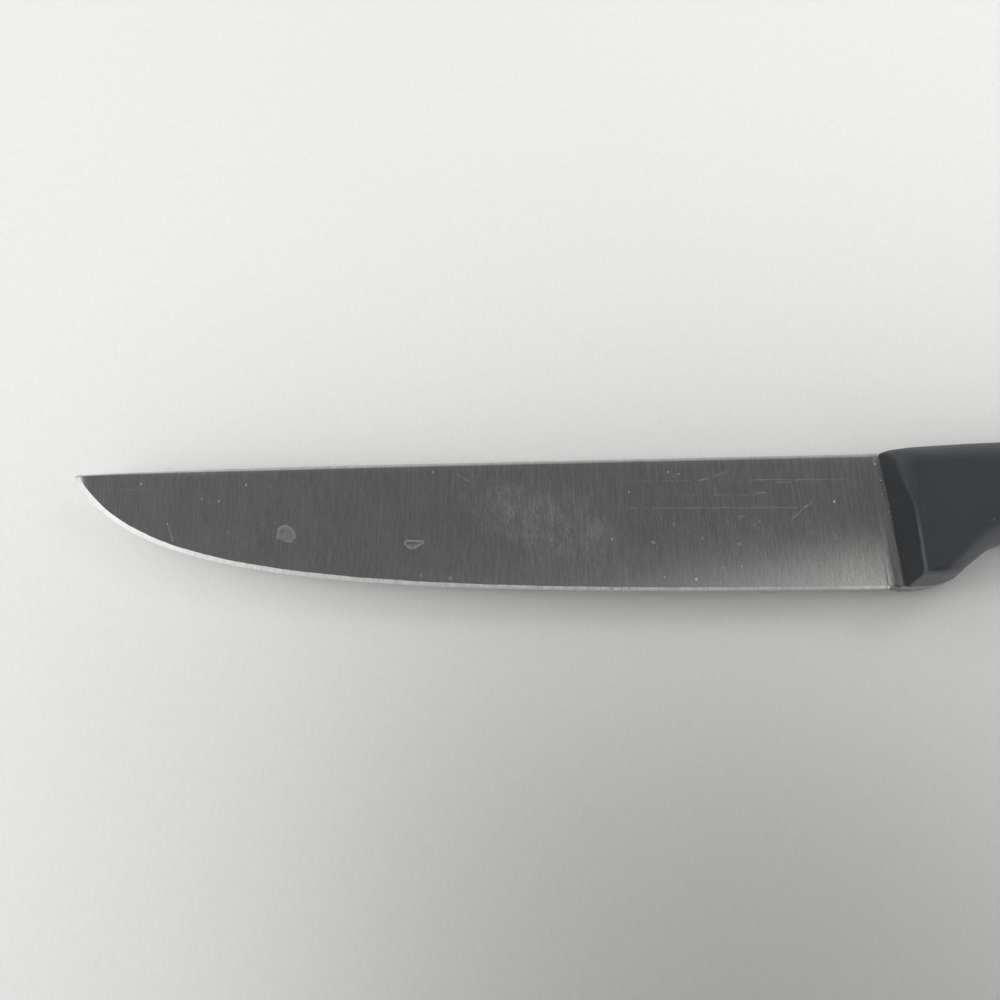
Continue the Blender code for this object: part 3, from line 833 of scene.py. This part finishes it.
def make_bevel_steel():
    """Sharpened bevel: coarse bright striations square to the edge."""
    g = Graph("blade_bevel_steel")
    grain = g.node("ShaderNodeUVMap", uv_map="grain")
    u, v, _ = g.split(g.vmath("SCALE", grain.outputs[0], scale=100.0))
    lines = g.noise(g.join(g.math("MULTIPLY", u, 3.2), g.math("MULTIPLY", v, 0.9)), 1.0, 3.0, 0.65)
    patches = g.noise(g.join(g.math("MULTIPLY", u, 0.7), g.math("MULTIPLY", v, 0.6)), 1.0, 2.0, 0.6)
    value = g.add_all([1.0, g.math("MULTIPLY", g.math("SUBTRACT", lines, 0.5), 0.75),
                       g.math("MULTIPLY", g.math("SUBTRACT", patches, 0.5), 0.30)])
    # painted highlight: the bevel is made brighter towards the tip
    value = g.math("MULTIPLY", value, g.ramp(u, 55.0, 15.0, 1.0, 1.17))
    # painted shade: towards the heel the bevel's lower part is darker; painted highlight: it is brighter near
    # the heel, with painted shade at its very end by the plunge
    lower = g.math("MULTIPLY", g.ramp(u, 45.0, 115.0, 0.0, 0.18), g.ramp(v, 0.36, 0.10))
    value = g.math("MULTIPLY", g.math("SUBTRACT", value, lower), g.math(
        "MULTIPLY", g.ramp(u, 143.0, 149.0, 1.0, 1.22), g.ramp(u, 153.3, 152.7, 0.75, 1.0)))
    g.put(g.shader.inputs["Base Color"], g.tint((0.76, 0.755, 0.735), value))
    g.shader.inputs["Metallic"].default_value = 1.0
    g.put(g.shader.inputs["Roughness"], g.ramp(lines, 0.25, 0.75, 0.26, 0.42))
    g.shader.inputs["Anisotropic"].default_value = 0.6
    along_grain(g)
    g.put(g.shader.inputs["Normal"], g.bump(lines, 0.22, 0.00003))
    return g.mat


def make_spine_steel():
    """Spine and tang: belt-ground across, a little duller than the face."""
    g = Graph("blade_spine_steel")
    p, (x, y, z), fine, cloud, dots, value = steel_finish(g, 0.60, 0.20, 0.40)
    soil = g.ramp(g.noise(p, 0.28, 3.0, 0.6), 0.45, 0.72)
    # painted shade: the lower edge of the ricasso and tang is darkened, most at the heel's corner, to damp its
    # highlight
    rim = g.math("MULTIPLY", g.ramp(x, 14.0, 16.0), g.ramp(y, 0.0, -4.0))
    heel = g.math("MULTIPLY", g.ramp(x, 19.4, 18.4), g.ramp(y, -10.0, -12.5))
    value = g.math("SUBTRACT", value, g.math("MULTIPLY", rim, g.math(
        "ADD", 0.45, g.math("MULTIPLY", heel, 0.22))))
    # painted shade: the spine is greyer towards the heel
    value = g.math("SUBTRACT", value, g.math("MULTIPLY", g.ramp(y, 4.0, 8.0), g.ramp(
        x, -75.0, 12.0, 0.10, 0.30)))
    g.put(g.shader.inputs["Base Color"],
          g.mix(g.math("MULTIPLY", soil, 0.25), g.tint((0.55, 0.555, 0.545), value),
                (0.36, 0.35, 0.33)))
    g.shader.inputs["Metallic"].default_value = 1.0
    g.put(g.shader.inputs["Roughness"], g.add_all(
        [0.30, g.math("MULTIPLY", fine, 0.14), g.math("MULTIPLY", soil, 0.08)]))
    g.shader.inputs["Anisotropic"].default_value = 0.4
    along_grain(g)
    g.put(g.shader.inputs["Normal"], g.bump(fine, 0.15, 0.00003))
    return g.mat


# ------------------------------------------------------------------ plastic
DUST = (  # on the left scale: place, radius, strength
    ((19.38, 2.26, 9.03), 0.20, 0.9), ((19.63, -0.97, 9.53), 0.20, 0.6),
    ((19.47, -8.03, 8.23), 0.24, 0.5), ((19.35, 7.99, 9.53), 0.16, 0.4),
    ((22.31, -0.93, 13.2), 0.22, 0.35), ((34.08, -3.05, 13.2), 0.24, 0.5),
    ((24.63, -5.04, 13.2), 0.20, 0.4), ((33.98, 0.49, 13.2), 0.16, 0.35),
    ((28.27, 5.18, 13.2), 0.18, 0.25), ((47.0, 4.0, 13.2), 0.22, 0.5),
    ((70.0, -3.0, 13.2), 0.24, 0.5), ((88.0, 6.0, 13.2), 0.22, 0.5),
    ((103.0, -1.5, 13.2), 0.24, 0.5), ((58.5, -6.0, 13.2), 0.2, 0.4),
)


# line of the painted highlight along the left scale's front crease, (x, y) in mm
CREASE_HIGHLIGHT_LINE = ((21.1, 0.4), (21.03, -2.9), (20.92, -6.5), (20.76, -9.2), (20.74, -11.1), (20.66, -12.7))


def make_plastic(name, side):
    """Moulded black plastic: fine spark-eroded grain, faint bloom, hairline
    wear along the grip and a little dust."""
    g = Graph(name)
    p = g.place_mm()
    x, y, z = g.split(p)
    grain = g.noise(p, 4.6, 3.0, 0.6)
    mottle = g.noise(p, 0.16, 3.0, 0.55)
    cloud = g.noise(p, 0.9, 2.0, 0.6)
    hairs = g.noise(g.join(g.math("MULTIPLY", x, 0.10), g.math("MULTIPLY", y, 3.2),
                           g.math("MULTIPLY", z, 3.2)), 1.0, 2.0, 0.6)
    cross = g.noise(g.join(g.math("ADD", g.math("MULTIPLY", x, 1.9), g.math("MULTIPLY", y, 1.1)),
                           g.math("SUBTRACT", g.math("MULTIPLY", y, 0.14), g.math("MULTIPLY", x, 0.09)),
                           z), 1.0, 1.0, 0.5)
    wear = g.math("MAXIMUM", g.ramp(hairs, 0.66, 0.80), g.ramp(cross, 0.74, 0.84))
    value = g.add_all([1.0, g.math("MULTIPLY", g.math("SUBTRACT", grain, 0.5), 0.38),
                       g.math("MULTIPLY", g.math("SUBTRACT", mottle, 0.5), 0.30),
                       g.math("MULTIPLY", g.math("SUBTRACT", cloud, 0.5), 0.20),
                       g.math("MULTIPLY", wear, 0.16)])
    across, along, _ = g.split(g.node("ShaderNodeTexCoord").outputs["Normal"])
    # painted shade: the faces turned to the front end are darker than the sides
    value = g.math("MULTIPLY", value, g.ramp(across, -0.55, -0.85, 1.0, 0.56))
    flat = g.join(x, y)
    if side > 0:
        # painted shade along the side's lower edge behind the guard
        guard_hollow_shade = g.math("MULTIPLY", g.stroke(flat, (21.7, -12.0), (25.4, -11.85), 0.85),
                        g.ramp(z, 10.9, 11.6))
        value = g.math("MULTIPLY", value, g.math("SUBTRACT", 1.0, g.math("MULTIPLY", guard_hollow_shade, 0.40)))
    body = g.tint((0.0330, 0.0370, 0.0435), value)
    # partly painted light from the floor, partly rubbing wear: paler under the guard and along the grip's
    # downward-facing side
    painted_light_and_rubbing = g.math("MULTIPLY", g.ramp(along, -0.60, -0.90), g.ramp(x, 30.0, 25.0, 0.10, 0.36))
    painted_light_and_rubbing = g.math("MAXIMUM", painted_light_and_rubbing, g.math(
        "MULTIPLY", g.ramp(along, -0.20, -0.42), g.ramp(x, 25.0, 28.0, 0.0, 0.15)))
    if side > 0:
        # painted highlight along the left scale's front crease
        crease_highlight = g.most([g.stroke(flat, (1.2 * a[0] - 0.2 * b[0], 1.2 * a[1] - 0.2 * b[1]),
                                  (1.2 * b[0] - 0.2 * a[0], 1.2 * b[1] - 0.2 * a[1]), 0.36)
                         for a, b in zip(CREASE_HIGHLIGHT_LINE, CREASE_HIGHLIGHT_LINE[1:])])
        crease_highlight = g.math("MULTIPLY", g.math("MULTIPLY", crease_highlight, g.ramp(z, 10.0, 11.0)),
                        g.math("MULTIPLY", g.ramp(y, 3.0, -9.0, 0.05, 0.34), g.ramp(cloud, 0.3, 0.6, 0.6, 1.0)))
        painted_light_and_rubbing = g.math("MAXIMUM", painted_light_and_rubbing, crease_highlight)
    # the pale colour of the painted light, the painted crease highlight and the rubbing
    body = g.mix(painted_light_and_rubbing, body, (0.17, 0.173, 0.178))
    far, pick = g.voronoi(p, 0.36)
    dust = g.math("MULTIPLY", g.ramp(far, 0.075, 0.035), g.ramp(g.split(pick)[0], 0.80, 0.90))
    dust = g.math("MULTIPLY", dust, 0.35)
    if side > 0:
        dust = g.most([dust] + [g.math("MULTIPLY", g.spot(p, c, r, 0.7), s * 0.9)
                                for c, r, s in DUST])
    g.put(g.shader.inputs["Base Color"], g.mix(g.math("MULTIPLY", dust, 0.55), body, (0.34, 0.34, 0.33)))
    g.put(g.shader.inputs["Roughness"], g.add_all(
        [0.34, g.math("MULTIPLY", mottle, 0.14), g.math("MULTIPLY", grain, 0.08),
         g.math("MULTIPLY", dust, 0.2)]))
    g.shader.inputs["Specular IOR Level"].default_value = 0.42
    coarse = g.bump(mottle, 0.10, 0.0002)
    g.put(g.shader.inputs["Normal"], g.bump(grain, 0.22, 0.00003, coarse))
    return g.mat


def make_rivet_metal():
    """Rivet heads sanded flush along the handle, dark round the rim."""
    g = Graph("rivet_metal")
    p = g.place_mm()
    x, y, z = g.split(p)
    lines = g.noise(g.join(g.math("MULTIPLY", x, 0.18), g.math("MULTIPLY", y, 4.6), z), 1.0, 3.0, 0.62)
    long = g.noise(g.join(g.math("MULTIPLY", x, 0.05), g.math("MULTIPLY", y, 1.1), z), 1.0, 1.0, 0.5)
    stain = g.noise(p, 0.55, 3.0, 0.6)
    radius = g.vmath("LENGTH", g.join(x, y))
    rim = g.math("MULTIPLY", g.ramp(radius, HEAD_RADIUS - 0.55, HEAD_RADIUS - 0.05),
                 g.ramp(stain, 0.3, 0.6, 0.45, 1.0))
    value = g.add_all([1.0, g.math("MULTIPLY", g.math("SUBTRACT", lines, 0.5), 0.42),
                       g.math("MULTIPLY", g.math("SUBTRACT", long, 0.5), 0.22),
                       g.math("MULTIPLY", g.math("SUBTRACT", stain, 0.5), 0.20)])
    g.put(g.shader.inputs["Base Color"],
          g.mix(g.math("MULTIPLY", rim, 0.55), g.tint((0.52, 0.517, 0.50), value), (0.17, 0.165, 0.155)))
    g.shader.inputs["Metallic"].default_value = 1.0
    g.put(g.shader.inputs["Roughness"], g.add_all(
        [0.28, g.math("MULTIPLY", lines, 0.14), g.math("MULTIPLY", rim, 0.15)]))
    g.put(g.shader.inputs["Normal"], g.bump(lines, 0.22, 0.00003))
    return g.mat


def make_floor_finish():
    """Pale, smooth worktop with a faint orange-peel sheen."""
    g = Graph("pale_worktop")
    p = g.place_mm()
    peel = g.noise(p, 0.55, 3.0, 0.55)
    broad = g.noise(p, 0.012, 2.0, 0.5)
    x, y, z = g.split(p)
    paint = g.noise(g.join(g.math("MULTIPLY", x, 1.5), g.math("MULTIPLY", y, 0.5)), 1.0, 3.0, 0.65)
    tone = g.add_all([0.925, g.math("MULTIPLY", broad, 0.03), g.math("MULTIPLY", paint, 0.12)])
    # painted shade: the floor is darker far from the knife
    far_floor_shade = g.ramp(g.vmath("LENGTH", g.join(x, y)), 240.0, 1000.0, 1.0, 0.80)
    g.put(g.shader.inputs["Base Color"], g.tint((0.80, 0.797, 0.785), g.math("MULTIPLY", tone, far_floor_shade)))
    g.put(g.shader.inputs["Roughness"], g.ramp(peel, 0.3, 0.7, 0.36, 0.46))
    g.shader.inputs["Specular IOR Level"].default_value = 0.35
    g.put(g.shader.inputs["Normal"], g.bump(peel, 0.10, 0.0002))
    return g.mat


# ------------------------------------------------------------------- pieces
blade = make_blade()
for finish in (make_face_steel(), make_bevel_steel(), make_spine_steel()):
    blade.data.materials.append(finish)
left_scale = make_scale("left_scale_visual", 1)
left_scale.data.materials.append(make_plastic("left_scale_plastic", 1))
right_scale = make_scale("right_scale_visual", -1)
right_scale.data.materials.append(make_plastic("right_scale_plastic", -1))

for piece, node, slot in ((blade, "blade", "blade_steel"),
                          (left_scale, "left_scale", "handle_plastic"),
                          (right_scale, "right_scale", "handle_plastic")):
    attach(piece, "root")
    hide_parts(node)

rivet_metal = make_rivet_metal()
for label, v in RIVET_STATIONS:
    for piece, half in zip(make_rivet(label, v), ("pin", "sleeve")):
        piece.data.materials.append(rivet_metal)
        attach(piece, "root")
        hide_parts(f"{label}_rivet_{half}")

# -------------------------------------------------------------------- floor
floor = new_object("floor", [(6000 * math.cos(math.radians(k)), 6000 * math.sin(math.radians(k)), -0.03)
                             for k in range(0, 360, 3)], [tuple(range(120))], (0, 0, 0))
floor.data.materials.append(make_floor_finish())


# ------------------------------------------------------------ light and view
def area_light(name, place, aim, size, power, colour=(1, 1, 1)):
    data = bpy.data.lights.new(name, "AREA")
    data.shape, data.size, data.size_y = "RECTANGLE", size[0] * MM, size[1] * MM
    data.energy, data.color = power, colour
    obj = bpy.data.objects.new(name, data)
    bpy.context.scene.collection.objects.link(obj)
    z = np.array(place, float) - np.array(aim, float)
    z /= np.linalg.norm(z)
    x = np.cross((0, 0, 1), z)
    x /= np.linalg.norm(x)
    y = np.cross(z, x)
    obj.matrix_world = Matrix([[x[i], y[i], z[i], place[i] * MM] for i in range(3)] + [[0, 0, 0, 1]])
    obj.visible_glossy = False
    obj.visible_camera = False
    return obj


area_light("window", (-260, -60, 250), (-60, 20, 0), (160, 160), 0.115)
area_light("lamp", (220, 190, 300), (-40, 0, 0), (130, 130), 0.19)

# a dark card over the front of the table, which only shades
flag = new_object("shade_card", [(-116, -277, 76), (41, -277, 76), (41, -29, 76), (-116, -29, 76)],
                  [(0, 1, 2, 3)], (0, 0, 0))
card = Graph("shade_card")
card.shader.inputs["Base Color"].default_value = (0.02, 0.02, 0.02, 1)
card.shader.inputs["Roughness"].default_value = 1.0
card.shader.inputs["Specular IOR Level"].default_value = 0.0
flag.data.materials.append(card.mat)
flag.visible_camera = flag.visible_glossy = False


def make_world():
    """Soft studio surround. Surfaces are lit by a dome that is brighter to the
    left and in front; the steel mirrors a pale room with a darker panel above
    the table."""
    world = bpy.data.worlds.new("studio")
    bpy.context.scene.world = world
    world.use_nodes = True
    world.cycles.sampling_method = "NONE"
    tree = world.node_tree
    tree.nodes.clear()

    g = Graph.__new__(Graph)
    g.tree = tree
    coord = g.node("ShaderNodeTexCoord")
    dx, dy, dz = g.split(coord.outputs["Generated"])
    up = g.math("MAXIMUM", dz, 0.06)
    a, b = g.math("DIVIDE", dx, up), g.math("DIVIDE", dy, up)

    # the darker panel's lower border climbs towards both sides
    border = g.add_all([0.003, g.math("MULTIPLY", g.ramp(a, -0.51, 0.54), 0.237),
                        g.math("MULTIPLY", g.ramp(a, -0.60, -1.05), 0.27)])
    panel = g.math("MULTIPLY", g.ramp(g.math("SUBTRACT", b, border), -0.039, 0.039),
                   g.math("MULTIPLY", g.ramp(b, 0.92, 0.42),
                          g.math("MULTIPLY", g.ramp(a, -7.0, -5.0), g.ramp(a, 1.5, 0.9))))
    low = g.math("MULTIPLY", g.ramp(dz, 0.45, 0.08), g.ramp(dy, 0.5, 0.0))
    right = g.math("MULTIPLY", g.ramp(a, -0.155, 0.80), g.ramp(b, -0.45, -0.05, 0.22, 0.74))
    bright = g.math("MULTIPLY", g.math("MULTIPLY", g.ramp(a, -0.05, -0.85, 0.0, 1.45),
                                       g.ramp(a, -2.3, -1.7, 0.15, 1.0)), g.math(
        "MULTIPLY", g.ramp(dz, 0.08, 0.38, 0.20, 1.0), g.ramp(b, -1.15, -0.75, 0.35, 1.0)))
    room = g.add_all([0.37, bright, right,
                      g.math("MULTIPLY", g.ramp(b, 1.2, 3.0), 0.30),
                      g.math("MULTIPLY", low, g.ramp(dx, 0.0, 0.6, 0.50, 1.40))])
    level = g.math("ADD", g.math("MULTIPLY", room, g.math("SUBTRACT", 1.0, panel)),
                   g.math("MULTIPLY", panel, g.ramp(a, -0.2, -0.7, 0.202, 0.263)))

    left = g.math("MAXIMUM", g.math("MULTIPLY", dx, -1.0), 0.0)
    front = g.math("MAXIMUM", g.math("MULTIPLY", dy, -1.0), 0.0)
    light = g.add_all([0.123, g.math("MULTIPLY", left, 2.28), g.math("MULTIPLY", front, 1.85),
                       g.math("MULTIPLY", g.math("MAXIMUM", dx, 0.0), 0.05),
                       g.math("MULTIPLY", g.math("MULTIPLY", dz, dz), 0.43)])

    mirrored = g.node("ShaderNodeBackground")
    g.put(mirrored.inputs["Strength"], level)
    dome = g.node("ShaderNodeBackground")
    g.put(dome.inputs["Strength"], light)
    backdrop = g.node("ShaderNodeBackground")
    backdrop.inputs["Color"].default_value = (0.80, 0.80, 0.79, 1)
    backdrop.inputs["Strength"].default_value = 0.85
    rays = g.node("ShaderNodeLightPath")
    first = g.node("ShaderNodeMixShader")
    g.put(first.inputs[0], rays.outputs["Is Diffuse Ray"])
    g.put(first.inputs[1], mirrored.outputs[0])
    g.put(first.inputs[2], dome.outputs[0])
    second = g.node("ShaderNodeMixShader")
    g.put(second.inputs[0], rays.outputs["Is Camera Ray"])
    g.put(second.inputs[1], first.outputs[0])
    g.put(second.inputs[2], backdrop.outputs[0])
    out = g.node("ShaderNodeOutputWorld")
    g.put(out.inputs[0], second.outputs[0])


make_world()

camera_data = bpy.data.cameras.new("camera")
camera_data.sensor_fit, camera_data.sensor_width = "HORIZONTAL", 36.0
camera_data.lens = CAMERA_LENS
camera_data.clip_start, camera_data.clip_end = 0.005, 20.0
camera = bpy.data.objects.new("camera", camera_data)
bpy.context.scene.collection.objects.link(camera)
camera.matrix_world = Matrix(
    [[CAMERA_X[i], CAMERA_Y[i], CAMERA_Z[i], CAMERA_PLACE[i] * MM] for i in range(3)] + [[0, 0, 0, 1]])
bpy.context.scene.camera = camera
bpy.context.scene.view_settings.view_transform = "Standard"
bpy.context.scene.view_settings.look = "None"

bpy.context.view_layer.update()
